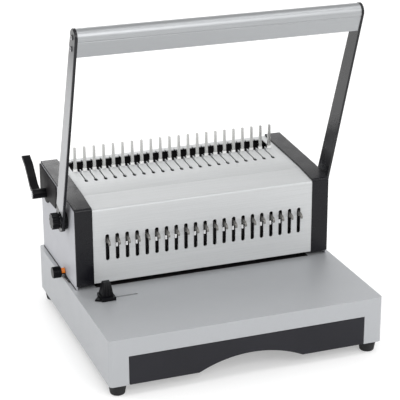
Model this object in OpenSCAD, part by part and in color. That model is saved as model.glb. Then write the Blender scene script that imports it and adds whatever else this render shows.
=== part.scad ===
// Comb binding machine: a lever press that punches a row of slots in a stack of sheets and a
// comb opener on its top. Millimetres, front towards -Y, +X to the right, feet on Z = 0.

/* [Punching] */
// Distance between neighbouring punched slots
pitch = 14.2875; // [14:0.0125:14.5]
// Number of punch pins and front slots
pins = 21; // [19:1:21]
// Downward travel of the punch bar
punch_stroke = 14.4; // [13:0.1:15]

/* [Base] */
// Width of the base
base_w = 389; // [384:1:400]
// Depth of the base
base_d = 349; // [340:1:360]
// Height of the base without its feet
base_h = 66; // [60:1:70]
// Height of the rubber feet
foot_h = 16; // [12:1:20]
// Wall thickness of the base shell
base_wall = 2; // [1.5:0.1:3]
// Distance from the front of the base to the front of the housing
tray_d = 167; // [160:1:175]

/* [Housing] */
// Width of the housing over its end caps
house_w = 377; // [370:1:380]
// Depth of the housing
house_d = 178; // [174:1:180]
// Width of one end cap
cap_w = 25.3; // [22:0.1:28]
// Height of the housing's front top edge above the base
house_front_h = 118; // [112:1:124]
// Height of the paper throat below the front cover
throat_h = 7; // [6:0.5:9]

/* [Handle] */
// Length of the arms from the pivot to the tip
arm_l = 314; // [300:1:325]
// Forward lean of the arms at rest
arm_lean = 20.6; // [12:0.1:25]
// Thickness of one arm
arm_t = 4; // [3:0.1:5]
// Length of the grip bar's flat front face along the arm
grip_face = 24; // [20:1:28]

/* [Comb opener] */
// Height of the tines above the top cover
tine_h = 37; // [30:1:42]
// Travel of the hook plate
hook_travel = 24.9; // [20:0.1:26]
// Front edge of the trough, behind the front panel
trough_front = 128; // [126:1:130]
// Rear edge of the trough, behind the front panel
trough_rear = 166; // [164:1:168]

/* [Hidden] */
$fn = 48;

silver = [0.72, 0.73, 0.74];
charcoal = [0.16, 0.16, 0.17];
black = [0.06, 0.06, 0.07];
steel = [0.62, 0.63, 0.65];
bright = [0.82, 0.82, 0.83];
orange = [0.95, 0.45, 0.08];

base_top = foot_h + base_h;
base_front = -tray_d;
base_rear = base_front + base_d;
base_hw = base_w / 2;
house_hw = house_w / 2;
cap_in = house_hw - cap_w;
cap_t = 2.5;
cap_r = 4;
side_t = 2;
house_rear = house_d;
top_z = base_top + house_front_h;
throat_top = base_top + throat_h;

// Top surface: a shallow slope behind the front edge, then a slightly flatter one
fold_y = 46;
front_slope = 0.115;
rear_slope = 0.0695;
function cap_top(y) = y < fold_y ? top_z + front_slope * y
    : top_z + front_slope * fold_y + rear_slope * (y - fold_y);
cover_t = 1.5;
cover_drop = 2.5;       // the cover lies this far below the caps
cover_set = 1;          // and this far behind their front
function cover_top(y) = cap_top(y) - cover_drop;

// Front slots and the pins behind them
pin_x0 = -pitch * (pins - 1) / 2;
function pin_x(i) = pin_x0 + pitch * i;
slot_w = 5.4;
bar_y0 = 6;
bar_y1 = 14.6;
bar_z0 = 128;
bar_z1 = 168;
pin_y = 10.5;
pin_w = 8;
pin_t = 3;
pin_gap = 0.15;
pin_z0 = throat_top + 1.5;
select_z0 = 148;
select_h = 6;
select_t = 3.2;
fin_drop = 7.6;         // how far a fin hangs below its shank's top
slot_z0 = select_z0 + select_h - fin_drop - punch_stroke - 11;
slot_z1 = select_z0 + select_h + 5.5;

// Handle drive: pinions on the handle shaft and racks on the punch bar
gear_m = 1.25;
handle_y = 45;
handle_z = 171.5;
drive_teeth = 22;
drive_r = gear_m * drive_teeth / 2;
shaft_d = 14;
bore_gap = 0.05;        // radial play of a running shaft
rack_x0 = 162;
rack_w = 12;
rack_z0 = 146;
rack_z1 = 192;
rack_back = 23;         // depth of a rack behind its pitch line, up to the punch bar

// Handle parts
arm_in = 195.1;
skin_t = 0.8;
skin_v = 19;            // the skins begin this far above the pivot
hub_gap = 0.4;
arm_hub_r = 16.2;
arm_tip_r = 11.5;
grip_u = 11;            // half thickness of the grip
grip_tip_v = arm_l - arm_tip_r;
screw_v = [grip_tip_v, grip_tip_v - 17];
screw_d = 4.2;

// Comb opener drive
lever_y = 145;
lever_z = 177;
lever_teeth = 24;
lever_r = gear_m * lever_teeth / 2;
lever_d = 8;
lever_hub_l = 22;
paddle = [[2, 2], [14, 8.5], [26, 20], [38, 31], [54, 38.5]];
paddle_t = 5;
plate_z = lever_z + lever_r + 3;
plate_t = 2;
plate_y0 = 118;
plate_y1 = 172;
plate_hw = 156;
hook_rack_x = 118;
hook_rack_w = 12;
hook_y = trough_front - 4.5;
hook_t = 1.2;
hook_shift = -1;        // hooks sit slightly left of the middle of the tine gaps
tines = pins + 1;
trough_hw = 153.4;
rake_t = 2.5;
foot_w = 5.5;
foot_block_h = 4;
tine_root = 2.45;        // half width of a tine above its foot
tine_neck = 1.75;        // half width where the rounded tip starts
tine_tip = 1.05;

// Margin control and paper guides
margin_y = 62;
margin_z = base_top + 5.5;
margin_d = 5;
collar_d = 7.8;
cam_x = -150;
cam_d = 7.8;
cam_throw = 1.3;
stop_y = 44;
guide_x = -157;

// Drawer
drawer_hw = 168;
drawer_z1 = foot_h + 41;
arch_r = 170;
arch_h = 17;

// The origin is the middle of the bounding box's bottom
knob_l = 10.4;
cap_l = 2;
cap_disc = 0.8;
x_min = -house_hw - lever_hub_l - cap_disc;
x_max = arm_in + arm_t + cap_l;
y_max = lever_y + paddle[4][0] + paddle_t / 2;
origin = [(x_min + x_max) / 2, (base_front + y_max) / 2, 0];
module place() {
    translate(-origin) children();
}

// Profile in Y and Z, drawn out along X between x0 and x1
module along_x(x0, x1) {
    translate([x0, 0, 0]) rotate([90, 0, 90]) linear_extrude(x1 - x0) children();
}

// Cylinder along X between x0 and x1
module rod_x(x0, x1, y, z, d) {
    translate([x0, y, z]) rotate([0, 90, 0]) cylinder(d = d, h = x1 - x0);
}

// Box from its lowest to its highest corner
module block(a, b) {
    translate(a) cube([b[0] - a[0], b[1] - a[1], b[2] - a[2]]);
}

// Copies on the left and on the right
module both_sides() {
    children();
    mirror([1, 0, 0]) children();
}

// Places a child at each pin
module at_pins() {
    for (i = [0 : pins - 1]) translate([pin_x(i), 0, 0]) children();
}

// Involute helpers for the pinions
pressure = 20;
function inv(a) = tan(a) * 180 / PI - a;
function tooth_half(r, rp, thick) = thick / (2 * rp) * 180 / PI + inv(pressure)
    - inv(acos(min(1, rp * cos(pressure) / r)));
tooth_thick = gear_m * PI / 2 - 0.25;

function tooth_points(rp, a) = let (
    root = rp - 1.25 * gear_m, tip = rp + 0.9 * gear_m, rb = rp * cos(pressure),
    rs = [max(root, rb), rp - 0.4 * gear_m, rp, rp + 0.5 * gear_m, tip],
    hs = [for (r = rs) tooth_half(r, rp, tooth_thick)]
) concat(
    [[root, a - hs[0]]], [for (k = [0 : 4]) [rs[k], a - hs[k]]],
    [for (k = [4 : -1 : 0]) [rs[k], a + hs[k]]], [[root, a + hs[0]]]
);

// Spur pinion about X; phase turns its first tooth away from straight forward
module pinion(x0, x1, y, z, teeth, phase, bore) {
    rp = gear_m * teeth / 2;
    pts = [for (i = [0 : teeth - 1]) for (p = tooth_points(rp, 360 * i / teeth + phase))
        [-p[0] * cos(p[1]), p[0] * sin(p[1])]];
    translate([0, y, z]) along_x(x0, x1) difference() {
        polygon(pts);
        circle(d = bore);
    }
}

// Straight rack profile: teeth along +x2d from 0 to length, pitch line on y2d = 0, teeth up
module rack_profile(first, count, back) {
    p = gear_m * PI;
    half = tooth_thick / 2;
    tip = 0.9 * gear_m;
    root = -1.25 * gear_m;
    function flank(h) = h * tan(pressure);
    pts = [for (i = [0 : count - 1]) let (c = first + i * p) for (q = [
        [c - half - flank(-root), root], [c - half + flank(tip), tip],
        [c + half - flank(tip), tip], [c + half + flank(-root), root]]) q];
    polygon(concat(pts, [
        [first + (count - 1) * p + p / 2, root], [first + (count - 1) * p + p / 2, back],
        [first - p / 2, back], [first - p / 2, root]]));
}

module rounded_footprint(hw, y0, y1, r) {
    translate([-hw + r, y0]) square([2 * (hw - r), y1 - y0]);
    translate([-hw, y0 + r]) square([2 * hw, y1 - y0 - 2 * r]);
    for (x = [-hw + r, hw - r], y = [y0 + r, y1 - r]) translate([x, y]) circle(r);
}

// ---- Base ----

module base_cover() {
    r = 5;
    color(silver) difference() {
        translate([0, 0, foot_h]) linear_extrude(base_h)
            rounded_footprint(base_hw, base_front, base_rear, r);
        difference() {
            translate([0, 0, foot_h - 1]) linear_extrude(base_h + 1 - base_wall)
                rounded_footprint(base_hw - base_wall, base_front + base_wall,
                    base_rear - base_wall, r - base_wall);
            // corner pads that carry the feet
            for (x = [-1, 1], y = [base_front, base_rear - 26])
                block([x > 0 ? base_hw - 26 : -base_hw, y, foot_h], [x > 0 ? base_hw : -base_hw + 26,
                    y + 26, foot_h + 3]);
        }
        // drawer opening
        block([-drawer_hw, base_front - 1, foot_h - 1], [drawer_hw, base_front + base_wall + 1, drawer_z1]);
        // opening over the die
        block([-160, 3, base_top - 5], [160, 18, base_top + 1]);
        // slot for the edge guide's key
        block([guide_x - 4, -38, base_top - 5], [guide_x + 44, -34, base_top + 1]);
    }
}

module base_floor() {
    color(charcoal) {
        translate([0, 0, 34]) linear_extrude(1.5)
            rounded_footprint(base_hw - base_wall, base_front + 12, base_rear - base_wall, 3);
        // runners beside the drawer
        for (x = [-171, 169]) block([x, base_front + 14, 35.5], [x + 2, 60, 46]);
    }
}

module rubber_feet() {
    color(black) for (x = [-1, 1], y = [base_front + 14.5, base_rear - 14.5])
        translate([x * (base_hw - 14.5), y, 0]) rotate_extrude()
            polygon([[0, 0], [8.5, 0], [10, 1.2], [12.2, foot_h - 2], [12.2, foot_h], [0, foot_h]]);
}

module chip_drawer() {
    z0 = 36;
    y0 = base_front + 3;
    color(charcoal) difference() {
        block([-166, y0, z0], [166, 58, 55]);
        block([-164.4, y0 + 1.6, z0 + 1.6], [164.4, 56.4, 56]);
    }
}

module drawer_front() {
    gap = 0.6;
    arch_x = 3;
    color(charcoal) difference() {
        block([-drawer_hw + gap, base_front, foot_h], [drawer_hw - gap, base_front + 3, drawer_z1 - gap]);
        translate([arch_x, base_front - 1, foot_h + arch_h - arch_r]) rotate([-90, 0, 0])
            cylinder(r = arch_r, h = 6, $fn = 180);
    }
}

// Stop for the sheets' side: a foot with a pointer, a tapered post with ribs, and a key below
module edge_guide() {
    z = base_top + 0.2;
    foot_y0 = -48;
    foot_y1 = -24;
    post_z = z + 21;
    color(black) {
        block([guide_x - 10, foot_y0, z], [guide_x + 10, foot_y1, z + 5]);
        translate([guide_x - 10, -38, z]) linear_extrude(2.4) polygon([[0, -8], [0, 8], [-8, -3]]);
        hull() {
            block([guide_x - 8, foot_y0 + 6, z + 5], [guide_x + 8, foot_y1 - 1, z + 6]);
            block([guide_x - 3.5, -35, post_z], [guide_x + 6.5, foot_y1 - 2, post_z + 1]);
        }
        // grip ribs on the front of the post
        for (i = [0 : 3]) hull() {
            block([guide_x - 7.6 + 4.4 * i, foot_y0 + 4.6, z + 5],
                [guide_x - 6 + 4.4 * i, foot_y0 + 6.5, z + 6]);
            block([guide_x - 3.3 + 2.8 * i, -36.2, post_z - 1], [guide_x - 2 + 2.8 * i, -34.6, post_z]);
        }
        // key that runs in the slot of the base
        block([guide_x - 3, -37.6, base_top - 2.5], [guide_x + 3, -34.4, z]);
    }
}

// ---- Punch ----

module die_block() {
    color(steel) difference() {
        block([-160, 3, base_top - 12], [160, 18, base_top]);
        at_pins() block([-pin_w / 2 - pin_gap, pin_y - pin_t / 2 - pin_gap, base_top - 13],
            [pin_w / 2 + pin_gap, pin_y + pin_t / 2 + pin_gap, base_top + 1]);
    }
}

module stripper_plate() {
    color(steel) difference() {
        block([-house_hw + side_t, 3, throat_top], [house_hw - side_t, 20, throat_top + 4]);
        at_pins() block([-pin_w / 2 - pin_gap, pin_y - pin_t / 2 - pin_gap, throat_top - 1],
            [pin_w / 2 + pin_gap, pin_y + pin_t / 2 + pin_gap, throat_top + 5]);
    }
}

module punch_bar() {
    post_hole = 8.1;
    color(steel) difference() {
        block([-rack_x0, bar_y0, bar_z0], [rack_x0, bar_y1, bar_z1]);
        at_pins() block([-select_t / 2 - 0.2, bar_y0 - 1, select_z0 - 0.2],
            [select_t / 2 + 0.2, bar_y1 + 1, select_z0 + select_h + 0.2]);
        both_sides() translate([154, pin_y, bar_z0 - 1]) cylinder(d = post_hole, h = bar_z1 - bar_z0 + 2);
    }
}

module punch_pins() {
    color(bright) at_pins()
        block([-pin_w / 2, pin_y - pin_t / 2, pin_z0], [pin_w / 2, pin_y + pin_t / 2, bar_z0]);
}

module guide_posts() {
    color(bright) both_sides() translate([154, pin_y, throat_top + 4])
        cylinder(d = 8, h = bar_z1 + 12 - throat_top - 4);
}

// The rack's teeth face the shaft; a gap of the rack lies at the height of the shaft at rest
module punch_racks() {
    p = gear_m * PI;
    count = floor((rack_z1 - rack_z0) / p);
    first = handle_z - p / 2 - floor((handle_z - rack_z0) / p - 0.5) * p;
    color(steel) both_sides() translate([0, handle_y - drive_r, 0]) along_x(rack_x0, rack_x0 + rack_w)
        mirror([1, -1]) rack_profile(first, count, -rack_back);
}

// One selector: a fin outside the cover, a flat shank and a tail stop behind the punch bar
module selector(i) {
    fin_out = 10.2;
    top = select_z0 + select_h;
    belly = top - fin_drop + 3;
    color(steel) translate([pin_x(i) - select_t / 2, 0, 0]) along_x(0, select_t) {
        polygon([
            [bar_y1 - 0.6, select_z0], [bar_y1 - 0.6, top], [0, top],
            for (a = [90 : -15 : 0]) [-fin_out * cos(a), belly + (top - belly) * sin(a)],
            [-fin_out * 0.98, top - fin_drop], [-fin_out * 0.72, belly], [-2, select_z0]
        ]);
    }
}

// ---- Housing ----

module side_plate(side) {
    holes = [[handle_y, handle_z, shaft_d], [lever_y, lever_z, lever_d], [margin_y, margin_z, margin_d]];
    color(silver) difference() {
        along_x(side < 0 ? -house_hw : house_hw - side_t, side < 0 ? -house_hw + side_t : house_hw)
            polygon([[cap_t, base_top], [cap_t, top_z - cap_r], [cap_r, top_z - cap_t],
                [fold_y, cap_top(fold_y) - cap_t], [house_rear, cap_top(house_rear) - cap_t],
                [house_rear, base_top]]);
        for (h = holes) if (side < 0 || h[2] > margin_d)
            rod_x(side * house_hw - 4, side * house_hw + 4, h[0], h[1], h[2] + 2 * bore_gap);
    }
}
module left_side_plate() { side_plate(-1); }
module right_side_plate() { side_plate(1); }

// One skin of a cap: up the front face, round the front edge and back along the folded top
function cap_line(inset) = concat(
    [[inset, throat_top - 1]],
    [for (a = [180 : -18 : 90]) [cap_r + (cap_r - inset) * cos(a), top_z - cap_r + (cap_r - inset) * sin(a)]],
    [[fold_y, cap_top(fold_y) - inset], [house_rear, cap_top(house_rear) - inset]]);

// Turns an outer and an inner line into the outline of a sheet
function sheet_outline(outer, inner) = concat(outer, [for (k = [len(inner) - 1 : -1 : 0]) inner[k]]);

module end_cap(x0, x1) {
    color(charcoal) along_x(x0, x1) polygon(sheet_outline(cap_line(0), cap_line(cap_t)));
}
module left_end_cap() { end_cap(-house_hw, -cap_in); }
module right_end_cap() { end_cap(cap_in, house_hw); }

module hook_slots() {
    for (i = [0 : pins - 1]) translate([pin_x(i) + hook_shift, 0, 0]) {
        block([-0.9, hook_y - hook_travel - 2, 190], [0.9, trough_front + 1, 220]);
        for (y = [-6, -2]) translate([0, hook_y - hook_travel + y, 190]) cylinder(d = 5, h = 30, $fn = 24);
        block([-2.5, hook_y - hook_travel - 6, 190], [2.5, hook_y - hook_travel - 2, 220]);
    }
}

// Front panel and top in one folded sheet, with the trough, the hook slots and the pin slots
module front_cover() {
    r = 3.5;
    y0 = cover_set;
    z0 = top_z - cover_drop;
    function sheet(d) = concat(
        [[y0 + d, throat_top]],
        [for (a = [180 : -18 : 90]) [y0 + r + (r - d) * cos(a), z0 - r + (r - d) * sin(a)]],
        [[fold_y, cover_top(fold_y) - d], [house_rear - side_t, cover_top(house_rear - side_t) - d]]);
    color(silver) difference() {
        along_x(-cap_in, cap_in) polygon(sheet_outline(sheet(0), sheet(cover_t)));
        block([-trough_hw, trough_front, 190], [trough_hw, trough_rear, 230]);
        hook_slots();
        // crease across the top
        along_x(-cap_in - 1, cap_in + 1) translate([fold_y, cover_top(fold_y)])
            polygon([[-0.8, 0.1], [0, -0.4], [0.8, 0.1]]);
        // small notches in the rear rail, in line with the hooks
        for (i = [0 : pins - 1]) translate([pin_x(i) + hook_shift, 0, 0])
            block([-0.9, trough_rear - 1, 190], [0.9, trough_rear + 4, 230]);
        at_pins() {
            block([-slot_w / 2, -1, slot_z0 + slot_w / 2], [slot_w / 2, 5, slot_z1 - slot_w / 2]);
            for (z = [slot_z0 + slot_w / 2, slot_z1 - slot_w / 2])
                translate([0, 5, z]) rotate([90, 0, 0]) cylinder(d = slot_w, h = 6, $fn = 24);
        }
    }
}

module rear_cover() {
    y0 = house_rear - side_t;
    color(silver) difference() {
        union() {
            block([-house_hw + side_t, y0, base_top], [house_hw - side_t, house_rear, cover_top(y0) - cover_t]);
            both_sides() block([cap_in, y0, base_top], [house_hw - side_t, house_rear, cap_top(y0) - cap_t]);
        }
        // vents
        for (x = [-60 : 20 : 60]) block([x - 1.5, house_rear - 4, 110], [x + 1.5, house_rear + 1, 150]);
    }
}

module lever_bearing_cover() {
    y0 = 88;
    z0 = 184;
    color(charcoal) difference() {
        union() {
            along_x(-house_hw - 2, -house_hw) polygon([[y0, z0 + 6], [y0 + 6, z0 - 14], [house_rear, z0 - 17],
                [house_rear, cap_top(house_rear) - cap_t - 1], [y0, cap_top(y0) - cap_t - 1]]);
            rod_x(-house_hw - 2, -house_hw, lever_y, lever_z, 30);
        }
        rod_x(-house_hw - 3, -house_hw + 1, lever_y, lever_z, lever_d + 1);
    }
}

// ---- Comb opener ----

// Upright strip along the trough's front edge, notched where the hooks rest
module rake_strip() {
    z1 = cover_top(trough_front);
    color(steel) difference() {
        block([-trough_hw + 0.1, trough_front, plate_z + plate_t + 1],
            [trough_hw - 0.1, trough_front + rake_t, z1]);
        for (i = [0 : pins - 1]) translate([pin_x(i) + hook_shift, 0, 0])
            block([-2, trough_front - 1, z1 - 5], [2, trough_front + rake_t + 1, z1 + 1]);
    }
}

// Tapered tines, each on a foot block that stands on the strip
module comb_tines() {
    z1 = cover_top(trough_front);
    color(bright) for (i = [0 : tines - 1])
        translate([pin_x(i - 0.5), trough_front + rake_t, z1]) rotate([90, 0, 0]) linear_extrude(rake_t)
            polygon([[-foot_w / 2, 0], [-foot_w / 2, foot_block_h], [-tine_root, foot_block_h],
                [-tine_neck, tine_h - 1.2], [-tine_tip, tine_h], [tine_tip, tine_h],
                [tine_neck, tine_h - 1.2], [tine_root, foot_block_h],
                [foot_w / 2, foot_block_h], [foot_w / 2, 0]]);
}

// Plate under the top, and the two racks below it that the lever's pinions drive
module hook_plate() {
    p = gear_m * PI;
    rack_y0 = 134;
    count = floor((plate_y1 + 1 - rack_y0) / p);
    first = lever_y - p / 2 - floor((lever_y - rack_y0) / p - 0.5) * p;
    color(steel) {
        block([-plate_hw, plate_y0, plate_z], [plate_hw, plate_y1, plate_z + plate_t]);
        for (x = [-hook_rack_x - hook_rack_w, hook_rack_x]) translate([0, 0, lever_z + lever_r])
            along_x(x, x + hook_rack_w) mirror([0, 1]) rack_profile(first, count, -3);
    }
}

// Hooks that stand on the plate and reach through the slots of the cover
module comb_hooks() {
    z0 = plate_z + plate_t;
    z1 = cover_top(hook_y) + 4.5;
    color(steel) for (i = [0 : pins - 1]) translate([pin_x(i) + hook_shift - hook_t / 2, 0, 0])
        along_x(0, hook_t) polygon([
            [hook_y + 2.5, z0], [hook_y + 2.5, z1], [hook_y - 4, z1],
            [hook_y - 4, z1 - 3.4], [hook_y - 2.6, z1 - 3.4], [hook_y - 2.6, z1 - 1.6],
            [hook_y - 0.5, z1 - 2], [hook_y - 0.5, z0]]);
}

module lever_shaft() {
    color(bright) rod_x(-house_hw - 20, house_hw + 1, lever_y, lever_z, lever_d);
}

module lever_pinions() {
    color(steel) for (x = [-hook_rack_x - hook_rack_w + 1, hook_rack_x + 1])
        pinion(x, x + hook_rack_w - 2, lever_y, lever_z, lever_teeth, 0, lever_d);
}

// Crank with a curved flat paddle that leans back at rest
module comb_lever() {
    hub_d = 14;
    paddle_w = 12;
    hub_out = -house_hw - lever_hub_l;
    color(black) difference() {
        union() {
            rod_x(hub_out, -house_hw - 2 - hub_gap, lever_y, lever_z, hub_d);
            rod_x(hub_out - cap_disc, hub_out, lever_y, lever_z, 9);
            translate([0, lever_y, lever_z]) along_x(hub_out, hub_out + paddle_w)
                for (k = [0 : len(paddle) - 2]) hull() {
                    translate(paddle[k]) circle(d = paddle_t + (k == 0 ? 3 : 0), $fn = 24);
                    translate(paddle[k + 1]) circle(d = paddle_t, $fn = 24);
                }
        }
        rod_x(-house_hw - 20, -house_hw, lever_y, lever_z, lever_d);
    }
}

// ---- Handle ----

// Stands the handle's own frame, with its length along +Z from the pivot, at its rest lean
module handle_frame() {
    translate([0, handle_y, handle_z]) rotate([arm_lean, 0, 0]) children();
}

// Outline of an arm, tapering from the hub to a round tip; grow widens or narrows it all round
module arm_outline(grow) {
    rh = arm_hub_r + grow;
    rt = arm_tip_r + grow;
    polygon([
        for (a = [180 : 7.5 : 360]) [rh * cos(a), rh * sin(a)],
        for (a = [0 : 7.5 : 180]) [rt * cos(a), grip_tip_v + rt * sin(a)]
    ]);
}

module arm(side) {
    x0 = side < 0 ? -arm_in - arm_t + skin_t : arm_in;
    color(charcoal) handle_frame() difference() {
        along_x(x0, x0 + arm_t - skin_t) arm_outline(0);
        rod_x(x0 - 1, x0 + arm_t + 1, 0, 0, shaft_d);
        for (v = screw_v) rod_x(x0 - 1, x0 + arm_t + 1, 0, v, screw_d);
    }
}
module left_arm() { arm(-1); }
module right_arm() { arm(1); }

module arm_skins() {
    color(silver) handle_frame() both_sides()
        along_x(arm_in + arm_t - skin_t, arm_in + arm_t) difference() {
            arm_outline(-1);
            translate([-arm_hub_r, -arm_hub_r]) square([2 * arm_hub_r, arm_hub_r + skin_v]);
            for (v = screw_v) translate([0, v]) circle(d = screw_d);
        }
}

module grip_shape(inset) {
    translate([0, grip_tip_v]) circle(grip_u - inset);
    translate([-grip_u + inset, grip_tip_v - grip_face + inset])
        square([2 * (grip_u - inset), grip_face - inset]);
}

// Hollow extrusion: flat front face, a groove and a round nose, with two screw ports inside
module grip_bar() {
    wall = 2.2;
    port_d = 8;
    color(silver) handle_frame() along_x(-arm_in, arm_in) difference() {
        grip_shape(0);
        difference() {
            grip_shape(wall);
            for (v = screw_v) {
                translate([0, v]) circle(d = port_d);
                translate([-grip_u, v - 1]) square([2 * grip_u, 2]);
            }
        }
        for (v = screw_v) translate([0, v]) circle(d = screw_d);
        translate([-grip_u - 0.4, grip_tip_v - 1.5]) circle(0.9, $fn = 16);
    }
}

module grip_screws() {
    color(bright) handle_frame() both_sides() for (v = screw_v) {
        rod_x(arm_in - 13, arm_in + arm_t, 0, v, screw_d);
        difference() {
            rod_x(arm_in + arm_t, arm_in + arm_t + 1.8, 0, v, 7);
            translate([arm_in + arm_t + 0.8, 0, v]) rotate([0, 90, 0]) cylinder(d = 3.6, h = 2, $fn = 6);
        }
    }
}

module handle_shaft() {
    color(bright) rod_x(-arm_in - arm_t - 1, arm_in + arm_t + 1, handle_y, handle_z, shaft_d);
}

module drive_pinions() {
    color(steel) for (x = [-rack_x0 - rack_w + 1, rack_x0 + 1])
        pinion(x, x + rack_w - 2, handle_y, handle_z, drive_teeth, 0, shaft_d);
}

// Stepped spacer between the housing and each arm, lobed where it meets the arm
module hub_discs() {
    color(black) both_sides() difference() {
        union() {
            rod_x(house_hw + hub_gap, house_hw + 4, handle_y, handle_z, 27);
            translate([0, handle_y, handle_z]) along_x(house_hw + 4, arm_in) lobed(15.6, 0.6, 20);
        }
        rod_x(house_hw, arm_in + 1, handle_y, handle_z, shaft_d);
    }
}

// Outline with rounded lobes, for grips that turn
module lobed(r, depth, lobes) {
    polygon([for (a = [0 : 3 : 357]) let (q = r + depth * cos(lobes * a)) [q * cos(a), q * sin(a)]]);
}

// Lobed retaining knob outside the left arm, and a flat cap outside the right one
module hub_knobs() {
    x0 = arm_in + arm_t;
    color(black) difference() {
        union() {
            translate([0, handle_y, handle_z]) along_x(-x0 - knob_l, -x0) lobed(10.6, 0.9, 10);
            rod_x(x0, x0 + cap_l, handle_y, handle_z, 19);
        }
        rod_x(-x0 - 1, x0 + 1, handle_y, handle_z, shaft_d);
    }
}

// ---- Margin control ----

// Shaft with an eccentric disc that pushes the depth stop forward
module margin_shaft() {
    color(bright) {
        rod_x(-base_hw - 3, cam_x, margin_y, margin_z, margin_d);
        rod_x(cam_x, cam_x + 5, margin_y + cam_throw, margin_z, cam_d);
    }
}

// Black sleeve on the side plate that the shaft turns in, with a coloured half ring on top of it
module margin_ring() {
    color(orange) difference() {
        union() {
            rod_x(-base_hw - 0.4, -house_hw, margin_y, margin_z, collar_d);
            difference() {
                rod_x(-base_hw - 0.2, -house_hw - 0.6, margin_y, margin_z, collar_d + 2.6);
                block([-base_hw - 1, margin_y - 8, margin_z - 8], [-house_hw, margin_y + 8, margin_z - 0.5]);
            }
        }
        rod_x(-base_hw - 1, -house_hw + 1, margin_y, margin_z, margin_d + 0.4);
    }
}

module margin_knob() {
    x1 = -base_hw - 0.4;
    ribs = 20;
    color(black) difference() {
        union() {
            rod_x(x1 - 12, x1, margin_y, margin_z, 15.4);
            for (i = [0 : ribs - 1]) translate([0, margin_y, margin_z]) rotate([i * 360 / ribs, 0, 0])
                block([x1 - 11, 7, -0.6], [x1 - 0.8, 8.2, 0.6]);
        }
        rod_x(-base_hw - 3, x1 + 1, margin_y, margin_z, margin_d);
    }
}

// Straight stop that the sheets meet behind the pins
module depth_stop() {
    push_y = margin_y + cam_throw - cam_d / 2 - 0.6;
    color(steel) {
        block([-150, stop_y, base_top + 0.2], [150, stop_y + 2, base_top + 11]);
        block([-150, stop_y + 2, base_top + 0.2], [150, stop_y + 8, base_top + 2]);
        block([cam_x, stop_y + 2, base_top + 0.2], [cam_x + 5, push_y, base_top + 9]);
    }
}

place() base_cover();
place() base_floor();
place() chip_drawer();
place() drawer_front();
place() rubber_feet();
place() die_block();
place() stripper_plate();
place() left_side_plate();
place() right_side_plate();
place() left_end_cap();
place() right_end_cap();
place() front_cover();
place() rear_cover();
place() lever_bearing_cover();
place() guide_posts();
place() rake_strip();
place() comb_tines();
place() hook_plate();
place() comb_hooks();
place() lever_shaft();
place() lever_pinions();
place() comb_lever();
place() handle_shaft();
place() drive_pinions();
place() hub_discs();
place() hub_knobs();
place() left_arm();
place() right_arm();
place() arm_skins();
place() grip_bar();
place() grip_screws();
place() punch_bar();
place() punch_racks();
place() punch_pins();
place() margin_shaft();
place() margin_knob();
place() margin_ring();
place() depth_stop();
place() edge_guide();
for (i = [0 : pins - 1]) let (name = str("selector_", i < 9 ? "0" : "", i + 1))
    place() selector(i);
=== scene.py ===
"""Look of the comb binding machine, built around its CAD nodes in the row frame."""
import math

import bmesh
import bpy
from mathutils import Matrix, Vector


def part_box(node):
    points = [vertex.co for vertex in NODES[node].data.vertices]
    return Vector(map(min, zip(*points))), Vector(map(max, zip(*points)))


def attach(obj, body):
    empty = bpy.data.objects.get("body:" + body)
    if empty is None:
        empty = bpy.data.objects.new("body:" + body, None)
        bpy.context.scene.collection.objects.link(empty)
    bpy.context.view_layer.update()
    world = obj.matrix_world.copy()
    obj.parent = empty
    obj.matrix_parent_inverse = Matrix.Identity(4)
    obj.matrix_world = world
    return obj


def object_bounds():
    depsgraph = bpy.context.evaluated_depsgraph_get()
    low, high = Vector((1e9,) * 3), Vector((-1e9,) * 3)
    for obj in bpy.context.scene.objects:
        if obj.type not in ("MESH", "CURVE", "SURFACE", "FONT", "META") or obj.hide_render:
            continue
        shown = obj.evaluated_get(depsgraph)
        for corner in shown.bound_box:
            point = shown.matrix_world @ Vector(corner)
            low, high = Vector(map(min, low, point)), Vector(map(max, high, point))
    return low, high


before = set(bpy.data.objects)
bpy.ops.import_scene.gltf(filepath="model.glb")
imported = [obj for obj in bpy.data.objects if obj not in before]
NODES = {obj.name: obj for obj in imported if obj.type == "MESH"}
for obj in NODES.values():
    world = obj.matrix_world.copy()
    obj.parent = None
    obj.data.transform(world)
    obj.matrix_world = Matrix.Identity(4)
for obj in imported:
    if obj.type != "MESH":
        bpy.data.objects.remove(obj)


def corners(pair):
    """A box's two corners as plain lists of numbers."""
    return [[float(v) for v in pair[0]], [float(v) for v in pair[1]]]


cad_box = corners(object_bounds())
PINS = 21
SLEEVE_R = 0.0039  # black sleeve inside the orange half ring
FOOT_W = 0.0055  # square foot block of each tine
FOOT_H = 0.004


def mid(pair):
    """Middle of a box."""
    return (pair[0] + pair[1]) / 2


# ---------------------------------------------------------------- camera

AZIMUTH, ELEVATION, ROLL = -20.29, 20.515, -0.27  # degrees
LENS, SENSOR = 130.97, 36.0  # millimetres
DISTANCE = 2.0004
TARGET = Vector((-0.00867, -0.03301, 0.19799))


def view_axes():
    """Right, up and backward directions of the camera, with its roll."""
    az, el, ro = (math.radians(v) for v in (AZIMUTH, ELEVATION, ROLL))
    back = Vector((math.sin(az) * math.cos(el), -math.cos(az) * math.cos(el), math.sin(el)))
    right = (-back).cross(Vector((0, 0, 1))).normalized()
    up = right.cross(-back)
    return right * math.cos(ro) + up * math.sin(ro), up * math.cos(ro) - right * math.sin(ro), back


def make_camera():
    data = bpy.data.cameras.new("camera")
    data.lens = LENS
    data.sensor_width = SENSOR
    data.clip_start = 0.05
    data.clip_end = 30.0
    cam = bpy.data.objects.new("camera", data)
    right, up, back = view_axes()
    m = Matrix((right, up, back)).transposed().to_4x4()
    m.translation = TARGET + back * DISTANCE
    cam.matrix_world = m
    bpy.context.scene.collection.objects.link(cam)
    bpy.context.scene.camera = cam


make_camera()

# ---------------------------------------------------------------- materials


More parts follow.
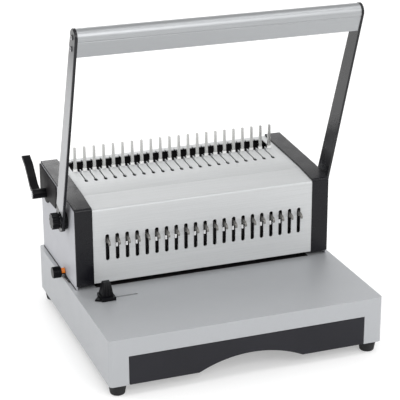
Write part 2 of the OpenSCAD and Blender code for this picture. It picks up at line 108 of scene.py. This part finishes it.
class Nodes:
    """Short helpers for one material's node tree."""

    def __init__(self, name):
        self.mat = bpy.data.materials.new(name)
        self.mat.use_nodes = True
        self.tree = self.mat.node_tree
        self.tree.nodes.clear()
        self.out = self.tree.nodes.new("ShaderNodeOutputMaterial")
        self.bsdf = self.tree.nodes.new("ShaderNodeBsdfPrincipled")
        self.tree.links.new(self.bsdf.outputs[0], self.out.inputs[0])
        self.coord = self.tree.nodes.new("ShaderNodeTexCoord").outputs["Object"]

    def add(self, kind, **values):
        node = self.tree.nodes.new(kind)
        for key, value in values.items():
            setattr(node, key, value)
        return node

    def link(self, a, b):
        self.tree.links.new(a, b)

    def stretched(self, scale):
        m = self.add("ShaderNodeMapping")
        m.inputs["Scale"].default_value = scale
        self.link(self.coord, m.inputs["Vector"])
        return m.outputs[0]

    def noise(self, scale, detail=3.0, rough=0.55, stretch=(1, 1, 1)):
        """Noise in the object's own metres, so a scale of 1000 is grain of about a millimetre."""
        n = self.add("ShaderNodeTexNoise")
        n.inputs["Scale"].default_value = scale
        n.inputs["Detail"].default_value = detail
        n.inputs["Roughness"].default_value = rough
        self.link(self.stretched(stretch), n.inputs["Vector"])
        return n.outputs["Fac"]

    def span(self, value, low, high, from_low=0.3, from_high=0.7):
        """Maps from_low..from_high onto low..high, clamped; noise mostly lies in the default range."""
        r = self.add("ShaderNodeMapRange")
        r.inputs["From Min"].default_value = from_low
        r.inputs["From Max"].default_value = from_high
        r.inputs["To Min"].default_value = low
        r.inputs["To Max"].default_value = high
        self.link(value, r.inputs["Value"])
        return r.outputs[0]

    def mix(self, fac, a, b):
        """Blend of two colours, each given as a socket or as three numbers."""
        m = self.add("ShaderNodeMix", data_type="RGBA")
        for value, sock in zip((a, b), [s for s in m.inputs if s.type == "RGBA"]):
            if isinstance(value, bpy.types.NodeSocket):
                self.link(value, sock)
            else:
                sock.default_value = (*value, 1.0)
        self.link(fac, m.inputs[0])
        return [s for s in m.outputs if s.type == "RGBA"][0]

    def bump(self, height, strength, distance, under=None):
        """Bump of a height, on top of another bump if one is given."""
        b = self.add("ShaderNodeBump")
        b.inputs["Strength"].default_value = strength
        b.inputs["Distance"].default_value = distance
        self.link(height, b.inputs["Height"])
        if under is not None:
            self.link(under, b.inputs["Normal"])
        return b.outputs[0]

    def tinted(self, color, stops):
        """Multiplies a colour by a grey ramp over the height Z."""
        low, high = stops[0][0], stops[-1][0]
        split = self.add("ShaderNodeSeparateXYZ")
        self.link(self.coord, split.inputs[0])
        ramp = self.add("ShaderNodeValToRGB")
        self.link(self.span(split.outputs["Z"], 0, 1, low, high), ramp.inputs[0])
        points = ramp.color_ramp.elements
        while len(points) < len(stops):
            points.new(0.5)
        for point, (height, grey) in zip(points, stops):
            point.position = (height - low) / (high - low)
            point.color = (grey, grey, grey, 1)
        m = self.add("ShaderNodeMix", data_type="RGBA", blend_type="MULTIPLY")
        m.inputs[0].default_value = 1.0
        a, b = [s for s in m.inputs if s.type == "RGBA"]
        self.link(color, a)
        self.link(ramp.outputs[0], b)
        return [s for s in m.outputs if s.type == "RGBA"][0]

    def edges(self, radius):
        """1 on sharp edges, 0 on flats."""
        bev = self.add("ShaderNodeBevel", samples=4)
        bev.inputs["Radius"].default_value = radius
        geo = self.add("ShaderNodeNewGeometry")
        dot = self.add("ShaderNodeVectorMath", operation="DOT_PRODUCT")
        self.link(bev.outputs[0], dot.inputs[0])
        self.link(geo.outputs["Normal"], dot.inputs[1])
        return self.span(dot.outputs["Value"], 1.0, 0.0, 0.86, 0.985)


def shade(color, factor, lift=0.0):
    """A colour made darker or paler, at most white."""
    return tuple(min(1.0, c * factor + lift) for c in color)


def painted(name, color, rough=0.36, metallic=0.55, grain=0.06, peel=0.05, streak=0.0, spec=0.5):
    """Metal-flake paint: fine grain, orange peel and smudges; streak adds rolled lines along X."""
    n = Nodes(name)
    flakes = n.noise(5200, 1.0)
    cloud = n.noise(9, 4.0)
    fine = n.mix(n.span(flakes, 0, 1, 0.35, 0.65), shade(color, 1 - grain), shade(color, 1 + grain))
    if streak:
        lines = n.noise(900, 4.0, 0.7, (0.012, 1, 1))
        fine = n.mix(n.span(lines, 0, streak, 0.42, 0.62), fine, shade(color, 0.7))
    n.link(n.mix(n.span(cloud, 0, 0.25), fine, shade(color, 0.96)), n.bsdf.inputs["Base Color"])
    n.link(n.span(n.noise(34, 5.0), rough - 0.03, rough + 0.04), n.bsdf.inputs["Roughness"])
    n.bsdf.inputs["Metallic"].default_value = metallic
    n.bsdf.inputs["Specular IOR Level"].default_value = spec
    wide = n.bump(n.noise(620, 2.0), peel, 0.0003)
    n.link(n.bump(flakes, peel * 0.8, 0.00008, wide), n.bsdf.inputs["Normal"])
    return n.mat


def plastic(name, color, rough=0.42, spec=0.5, texture=0.25, scale=1500, wear=0.35, coat=0.0):
    """Moulded plastic: spark-eroded texture, slightly paler rubbed edges."""
    n = Nodes(name)
    tex = n.noise(scale, 2.0)
    base = n.mix(n.span(n.noise(16, 4.0), 0, 1), shade(color, 0.9), shade(color, 1.12))
    worn = n.mix(n.span(n.noise(260, 4.0), 0.2, 1.0), color, shade(color, 2.2, 0.012))
    edge = n.add("ShaderNodeMath", operation="MULTIPLY")
    n.link(n.edges(0.0005), edge.inputs[0])
    edge.inputs[1].default_value = wear
    n.link(n.mix(edge.outputs[0], base, worn), n.bsdf.inputs["Base Color"])
    n.link(n.span(n.noise(48, 5.0), rough - 0.05, rough + 0.06), n.bsdf.inputs["Roughness"])
    n.bsdf.inputs["Specular IOR Level"].default_value = spec
    n.bsdf.inputs["Coat Weight"].default_value = coat
    n.bsdf.inputs["Coat Roughness"].default_value = 0.12
    n.link(n.bump(tex, texture, 0.00006), n.bsdf.inputs["Normal"])
    return n.mat


def brushed(name, color, rough=0.3, along="X", marks=0.12, line=0.18, metallic=1.0, fade=None):
    """Metal with fine grinding lines along one axis; fade gives the stops of a grey tint by height, a
    painted reflection.
    """
    n = Nodes(name)
    stretch = {"X": (0.02, 1, 1), "Z": (1, 1, 0.02)}[along]
    lines = n.noise(2600, 2.0, 0.6, stretch)
    coarse = n.noise(420, 3.0, 0.6, stretch)
    fine = n.mix(n.span(lines, 0, 1), shade(color, 1 - marks), shade(color, 1 + marks))
    tone = n.mix(n.span(coarse, 0, 0.4), fine, shade(color, 0.94))
    if fade:
        tone = n.tinted(tone, fade)
    n.link(tone, n.bsdf.inputs["Base Color"])
    n.link(n.span(lines, rough - 0.05, rough + 0.08), n.bsdf.inputs["Roughness"])
    n.bsdf.inputs["Metallic"].default_value = metallic
    n.link(n.bump(lines, line, 0.00004), n.bsdf.inputs["Normal"])
    return n.mat


def rubber(name, color):
    """Matt rubber with a fine grain and dusty patches."""
    n = Nodes(name)
    dusty = n.mix(n.span(n.noise(70, 5.0), 0, 1), color, shade(color, 1.7, 0.004))
    n.link(dusty, n.bsdf.inputs["Base Color"])
    n.link(n.span(n.noise(130, 3.0), 0.62, 0.8), n.bsdf.inputs["Roughness"])
    n.bsdf.inputs["Specular IOR Level"].default_value = 0.35
    n.link(n.bump(n.noise(2200, 2.0), 0.35, 0.00008), n.bsdf.inputs["Normal"])
    return n.mat


# painted reflection: the arms' aluminium is tinted darker toward the grip; height in metres, tint
ARM_PAINTED_REFLECTION = [(0.20, 1.0), (0.30, 0.95), (0.36, 0.84), (0.40, 0.66), (0.43, 0.36), (0.45, 0.2)]

MATS = {
    "tray": painted("tray_silver", (0.405, 0.415, 0.43), rough=0.48, metallic=0.35, spec=0.35),
    "front": painted("cover_silver", (0.54, 0.55, 0.555), rough=0.46, metallic=0.3, streak=0.24, spec=0.4),
    "side": painted("side_silver", (0.40, 0.405, 0.43), rough=0.5, metallic=0.15, peel=0.03),
    "arm": painted("arm_charcoal", (0.005, 0.005, 0.007), rough=0.27, metallic=0.0, grain=0.15, spec=0.36),
    "panel": plastic("panel_charcoal", (0.012, 0.012, 0.016), rough=0.42, spec=0.24, texture=0.25),
    "cap": plastic("cap_charcoal", (0.005, 0.005, 0.007), rough=0.26, spec=0.24, texture=0.12),
    "black": plastic("moulded_black", (0.002, 0.002, 0.003), rough=0.33, spec=0.14, texture=0.12, wear=0.4),
    "grip": brushed("grip_aluminium", (0.385, 0.395, 0.405), rough=0.42, marks=0.04, line=0.04,
                    metallic=0.85),
    "skin": brushed("arm_aluminium", (0.40, 0.405, 0.415), rough=0.36, along="Z", marks=0.05, line=0.08,
                    metallic=0.85, fade=ARM_PAINTED_REFLECTION),
    "screw": brushed("screw_steel", (0.30, 0.30, 0.31), rough=0.16, along="Z", marks=0.1, line=0.05),
    "steel": brushed("ground_steel", (0.50, 0.51, 0.52), rough=0.32),
    "oxide": plastic("blackened_steel", (0.009, 0.008, 0.009), rough=0.55, spec=0.12, texture=0.2,
                     wear=0.2),
    "fin": brushed("selector_steel", (0.19, 0.185, 0.175), rough=0.38, along="Z", marks=0.15, metallic=0.8),
    "bright": brushed("plated_steel", (0.56, 0.56, 0.55), rough=0.26, along="Z", marks=0.05, line=0.08,
                      metallic=0.9),
    "clip": brushed("clip_steel", (0.85, 0.85, 0.85), rough=0.25, along="Z", marks=0.05, line=0.08,
                    metallic=0.7),
    "shoe": plastic("shoe_white", (0.80, 0.80, 0.79), rough=0.3, texture=0.1, wear=0.0, coat=0.2),
    "turned": brushed("turned_steel", (0.66, 0.67, 0.68), rough=0.24, along="Z", marks=0.08),
    "rubber": rubber("foot_rubber", (0.006, 0.006, 0.007)),
    "orange": plastic("ring_orange", (0.90, 0.22, 0.01), rough=0.24, texture=0.1, scale=900, coat=0.4),
    "wedge_black": plastic("mark_black", (0.006, 0.006, 0.007), rough=0.45, texture=0.1, wear=0.0),
}

# ---------------------------------------------------------------- the CAD nodes' finish

SHARP = math.radians(32)  # edges sharper than this are rounded


def round_edges(o, width, segments=2):
    """Rounds an object's sharp edges and keeps its flats flat in shading."""
    b = o.modifiers.new("edge", "BEVEL")
    b.width = width
    b.segments = segments
    b.limit_method = "ANGLE"
    b.angle_limit = SHARP
    b.harden_normals = True
    return b


def dress(names, mat, width, segments):
    """Gives CAD nodes their material, smooth shading and rounded edges, or sharp ones where width is 0."""
    for name in names.split():
        o = NODES[name]
        o.data.materials.clear()
        o.data.materials.append(MATS[mat])
        if "custom_normal" in o.data.attributes:
            o.data.attributes.remove(o.data.attributes["custom_normal"])
        for p in o.data.polygons:
            p.use_smooth = True
            p.material_index = 0
        weld = o.modifiers.new("weld", "WELD")
        weld.merge_threshold = 2e-6
        flat = o.modifiers.new("flat", "DECIMATE")
        flat.decimate_type = "DISSOLVE"
        flat.angle_limit = math.radians(0.8)
        if width:
            round_edges(o, width, segments).miter_outer = "MITER_ARC"
        else:
            n = o.modifiers.new("normals", "WEIGHTED_NORMAL")
            n.keep_sharp = True


def repaint(name, mat, inside):
    """Gives another material to a node's faces for which inside(centre, normal) holds."""
    o = NODES[name]
    o.data.materials.append(MATS[mat])
    turn = o.matrix_world.to_3x3()
    for p in o.data.polygons:
        if inside(o.matrix_world @ p.center, turn @ p.normal):
            p.material_index = 1


def repaint_two_tone_nodes():
    """Black sleeve in the orange half ring, and the rear cover's dark inner faces."""
    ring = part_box("margin_ring")
    axis_y, axis_z = mid(ring).y, ring[0].z + SLEEVE_R
    reach = SLEEVE_R + 0.00025
    repaint("margin_ring", "black", lambda c, n: math.hypot(c.y - axis_y, c.z - axis_z) < reach)
    repaint("rear_cover", "oxide", lambda c, n: n.y < -0.5)


SELECTORS = " ".join("selector_%02d" % (i + 1) for i in range(PINS))
FINISH = (  # nodes, material, rounding of the edges in metres, segments of the rounding
    ("base_cover", "tray", 0.0009, 3),
    ("front_cover", "front", 0.00035, 2),
    ("rear_cover", "front", 0, 2),
    ("left_side_plate right_side_plate", "side", 0.0004, 2),
    ("left_end_cap right_end_cap", "cap", 0.0010, 3),
    ("drawer_front", "panel", 0.0006, 2),
    ("chip_drawer base_floor", "panel", 0.0004, 2),
    # the dark lever bearing cover paints the lever's shadow and reflection on the side plate as a dark part
    ("lever_bearing_cover", "oxide", 0.0008, 3),
    ("rubber_feet", "rubber", 0.0006, 2),
    ("left_arm right_arm", "arm", 0.0007, 3),
    ("arm_skins", "skin", 0.0003, 2),
    ("grip_bar", "grip", 0.0004, 2),
    ("comb_lever", "black", 0.0007, 3),
    ("hub_discs", "black", 0.0006, 2),
    ("hub_knobs", "black", 0.0003, 2),
    ("margin_knob", "black", 0.0003, 2),
    ("edge_guide", "black", 0.0004, 2),
    ("margin_ring", "orange", 0.0002, 2),
    ("die_block stripper_plate", "oxide", 0, 2),
    ("punch_bar hook_plate depth_stop", "oxide", 0.0002, 2),
    ("rake_strip", "steel", 0.0002, 2),
    ("punch_racks drive_pinions lever_pinions", "steel", 0, 2),
    ("comb_hooks", "steel", 0.0002, 2),
    ("comb_tines", "bright", 0.00025, 2),
    ("lever_shaft handle_shaft margin_shaft guide_posts", "turned", 0.0003, 2),
    ("grip_screws", "screw", 0.0003, 2),
    # the punch pins are darkened with the blackened-steel finish: painted shade of the slots they sit in
    ("punch_pins", "oxide", 0.0002, 2),
    (SELECTORS, "fin", 0.0003, 2),
)
for names, mat, width, segments in FINISH:
    dress(names, mat, width, segments)
repaint_two_tone_nodes()

# ---------------------------------------------------------------- small pieces


def piece(name, bm, mat, body, bevel=0.0):
    """Turns a bmesh in the row frame into a piece that rides on a body."""
    bmesh.ops.remove_doubles(bm, verts=bm.verts, dist=1e-7)
    bmesh.ops.recalc_face_normals(bm, faces=bm.faces)
    mesh = bpy.data.meshes.new(name)
    bm.to_mesh(mesh)
    bm.free()
    for p in mesh.polygons:
        p.use_smooth = True
    mesh.materials.append(MATS[mat])
    o = bpy.data.objects.new(name, mesh)
    bpy.context.scene.collection.objects.link(o)
    if bevel:
        round_edges(o, bevel)
    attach(o, body)
    return o


def add_box(bm, low, high):
    """Box between two corners."""
    made = bmesh.ops.create_cube(bm, size=1.0)["verts"]
    low, high = Vector(low), Vector(high)
    for v in made:
        v.co = Vector([(low[k] + high[k]) / 2 + v.co[k] * (high[k] - low[k]) for k in range(3)])


def add_prism(bm, outline, height, place):
    """Upright prism over a polygon given as (x, y) offsets from place."""
    rings = []
    for z in (0.0, height):
        rings.append([bm.verts.new(Vector(place) + Vector((x, y, z))) for x, y in outline])
    bm.faces.new(rings[0][::-1])
    bm.faces.new(rings[1])
    n = len(outline)
    for k in range(n):
        bm.faces.new((rings[0][k], rings[0][(k + 1) % n], rings[1][(k + 1) % n], rings[1][k]))


def add_lathe(bm, profile, place, axis, steps):
    """Solid turned about axis through place, from a profile of (distance along the axis, radius)."""
    axis = Vector(axis).normalized()
    side = axis.orthogonal().normalized()
    other = axis.cross(side)
    rings = []
    turns = [math.tau * k / steps for k in range(steps)]
    for along, radius in profile:
        base = Vector(place) + axis * along
        if radius < 1e-7:
            rings.append([bm.verts.new(base)])
            continue
        spokes = [side * math.cos(turn) + other * math.sin(turn) for turn in turns]
        rings.append([bm.verts.new(base + spoke * radius) for spoke in spokes])
    for a, b in zip(rings, rings[1:]):
        for k in range(steps):
            quad = [a[k % len(a)], a[(k + 1) % len(a)], b[(k + 1) % len(b)], b[k % len(b)]]
            bm.faces.new(list(dict.fromkeys(quad)))


def apply_modifiers(o):
    bpy.context.view_layer.update()
    done = bpy.data.meshes.new_from_object(o.evaluated_get(bpy.context.evaluated_depsgraph_get()))
    o.modifiers.clear()
    o.data = done


def screws(name, places, axis, radius, body):
    """Pan-head screws with a cross recess, all on one body."""
    tall = radius * 0.62
    profile = [(-0.0002, 0), (-0.0002, radius), (tall * 0.35, radius), (tall * 0.75, radius * 0.82),
               (tall * 0.95, radius * 0.5), (tall, 0)]
    long, thin, deep = radius * 0.72, radius * 0.13, radius * 0.55
    bm = bmesh.new()
    cut = bmesh.new()
    a = Vector(axis).normalized()
    across = [k for k in range(3) if abs(a[k]) < 0.5]
    for place in places:
        add_lathe(bm, profile, place, axis, 28)
        centre = Vector(place) + a * tall
        for arm in ((long, thin), (thin, long)):
            half = Vector((deep, deep, deep))
            half[across[0]], half[across[1]] = arm
            add_box(cut, centre - half, centre + half)
    o = piece(name, bm, "turned", body)
    mesh = bpy.data.meshes.new("cutter")
    cut.to_mesh(mesh)
    cut.free()
    cutter = bpy.data.objects.new("cutter", mesh)
    bpy.context.scene.collection.objects.link(cutter)
    boolean = o.modifiers.new("cross", "BOOLEAN")
    boolean.operation = "DIFFERENCE"
    boolean.solver = "EXACT"
    boolean.use_self = True
    boolean.object = cutter
    apply_modifiers(o)
    bpy.data.objects.remove(cutter)
    bpy.data.meshes.remove(mesh)
    for p in o.data.polygons:
        p.use_smooth = False


CLIP_SLOTS = (2, 3, 4, 6, 7, 8, 10, 11, 13, 14, 15, 17, 18, 19)
CLIP_HALF = 0.0017
CLIP_OUT = 0.0026  # proud of the punch bar
CLIP_TOP, CLIP_FOOT = 0.0018, 0.0078  # below the fin


def make_pin_clips():
    """Plated clips on the punch bar, seen in the slots below the fins."""
    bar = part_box("punch_bar")
    bm = bmesh.new()
    for i in CLIP_SLOTS:
        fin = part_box("selector_%02d" % i)
        x, z = mid(fin).x, fin[0].z
        low = (x - CLIP_HALF, bar[0].y - CLIP_OUT, z - CLIP_FOOT)
        add_box(bm, low, (x + CLIP_HALF, bar[0].y, z - CLIP_TOP))
    piece("pin_clips", bm, "clip", "punch", bevel=0.0004)


def make_tine_feet():
    """White shoes over the square feet of the tines."""
    low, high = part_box("comb_tines")
    step = (high.x - low.x - FOOT_W) / PINS
    grow = 0.0002
    bm = bmesh.new()
    for i in range(PINS + 1):
        x = low.x + i * step
        top = (x + FOOT_W + grow, high.y + grow, low.z + FOOT_H + grow)
        add_box(bm, (x - grow, low.y - grow, low.z), top)
    piece("tine_feet", bm, "shoe", "frame", bevel=0.0005)


def make_lever_cap():
    """Machined disc on the outer end of the lever's hub, with a shallow centre."""
    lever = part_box("comb_lever")
    shaft = mid(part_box("lever_shaft"))
    profile = [(-0.0006, 0), (-0.0006, 0.0050), (0.0002, 0.0052), (0.0006, 0.0048), (0.0007, 0.0030),
               (0.0004, 0.0026), (0.0004, 0)]
    bm = bmesh.new()
    add_lathe(bm, profile, (lever[0].x, shaft.y, shaft.z), (-1, 0, 0), 40)
    piece("lever_cap", bm, "turned", "comb_lever")


MARKS = ((0.003, 0.011, 0.0016), (0.0165, 0.0085, 0.0013))  # gap to the ring, length, half width
MARK_TALL = 0.0016


def make_marks():
    """Two black wedges that lie on the ledge beside the margin knob."""
    base, plate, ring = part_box("base_cover"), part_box("left_side_plate"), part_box("margin_ring")
    x = plate[0].x - 0.0022  # just clear of the side plate
    bm = bmesh.new()
    for gap, length, half in MARKS:
        wedge = [(-half, -0.001), (-half * 0.4, -length), (half * 0.7, -length * 0.8), (half, 0)]
        add_prism(bm, wedge, MARK_TALL, (x, ring[0].y - gap, base[1].z - 0.0001))
    piece("margin_marks", bm, "wedge_black", "frame", bevel=0.0003)


def make_shade_seams():
    """Dark strips where the two side plates stand on the base: painted shade in the joint."""
    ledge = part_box("base_cover")[1].z
    inset, sunk, proud, tall = 0.002, 0.0002, 0.0007, 0.0012
    bm = bmesh.new()
    for name, sign in (("left_side_plate", -1), ("right_side_plate", 1)):
        low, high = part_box(name)
        face = low.x if sign < 0 else high.x
        inner, outer = sorted((face - sign * sunk, face + sign * proud))
        add_box(bm, (inner, low.y + inset, ledge - sunk), (outer, high.y - inset, ledge + tall))
    piece("painted_shade_seams", bm, "rubber", "frame", bevel=0.0002)


def make_screws():
    """Two rows of four screws that hold the rear cover."""
    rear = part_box("rear_cover")
    xs = [rear[0].x * part for part in (0.93, 0.31, -0.31, -0.93)]
    rows = (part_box("base_cover")[1].z + 0.012, rear[1].z - 0.02)
    places = [(x, rear[1].y, z) for x in xs for z in rows]
    screws("rear_screws", places, (0, 1, 0), 0.0034, "frame")


make_pin_clips()
make_tine_feet()
make_lever_cap()
make_marks()
make_shade_seams()
make_screws()

# ---------------------------------------------------------------- floor and light

FLOOR_HALF = 6.0
FLOOR_GLOW = 0.36  # keeps the floor as pale as a lit studio sweep


def make_floor():
    bm = bmesh.new()
    bmesh.ops.create_grid(bm, x_segments=4, y_segments=4, size=FLOOR_HALF)
    mesh = bpy.data.meshes.new("floor")
    bm.to_mesh(mesh)
    bm.free()
    o = bpy.data.objects.new("floor", mesh)
    bpy.context.scene.collection.objects.link(o)
    n = Nodes("floor_white")
    paper = n.mix(n.span(n.noise(3, 3.0), 0, 1), (0.66, 0.66, 0.66), (0.68, 0.68, 0.68))
    n.link(paper, n.bsdf.inputs["Base Color"])
    n.bsdf.inputs["Emission Color"].default_value = (1.0, 1.0, 1.0, 1.0)
    n.bsdf.inputs["Emission Strength"].default_value = FLOOR_GLOW
    n.bsdf.inputs["Roughness"].default_value = 0.7
    n.bsdf.inputs["Specular IOR Level"].default_value = 0.1
    mesh.materials.append(n.mat)
    o.location.z = cad_box[0][2] - 0.0002


def area_light(name, place, aim, size, power):
    data = bpy.data.lights.new(name, "AREA")
    data.shape = "RECTANGLE"
    data.size, data.size_y = size
    data.energy = power
    o = bpy.data.objects.new(name, data)
    o.location = place
    o.rotation_euler = (Vector(aim) - Vector(place)).to_track_quat("-Z", "Y").to_euler()
    bpy.context.scene.collection.objects.link(o)


LIGHTS = (  # name, place, aim, size, watts
    ("key", (0.1, -2.5, 1.8), (0, 0, 0.2), (2.4, 1.4), 38),
    ("left", (-2.4, 0.1, 1.5), (0, 0, 0.2), (1.8, 1.4), 22),
    ("top", (1.2, -0.75, 2.5), (1.2, 0.1, 0.4), (1.9, 0.6), 11),
    ("fill", (2.2, -1.2, 1.1), (0, 0, 0.2), (1.4, 1.4), 12),
    ("rim", (1.05, 2.35, 1.25), (0.05, 0.05, 0.25), (1.5, 0.8), 3.5),
    ("far", (-0.5, 3.4, 2.2), (-0.9, 3.6, 0), (4.0, 2.6), 80),
)


def make_light():
    world = bpy.data.worlds.new("studio")
    bpy.context.scene.world = world
    world.use_nodes = True
    back = world.node_tree.nodes["Background"]
    back.inputs["Color"].default_value = (1.0, 1.0, 1.0, 1.0)
    back.inputs["Strength"].default_value = 0.62
    for light in LIGHTS:
        area_light(*light)


make_floor()
make_light()
bpy.context.scene.view_settings.view_transform = "Standard"
bpy.context.scene.view_settings.look = "None"

bpy.context.view_layer.update()
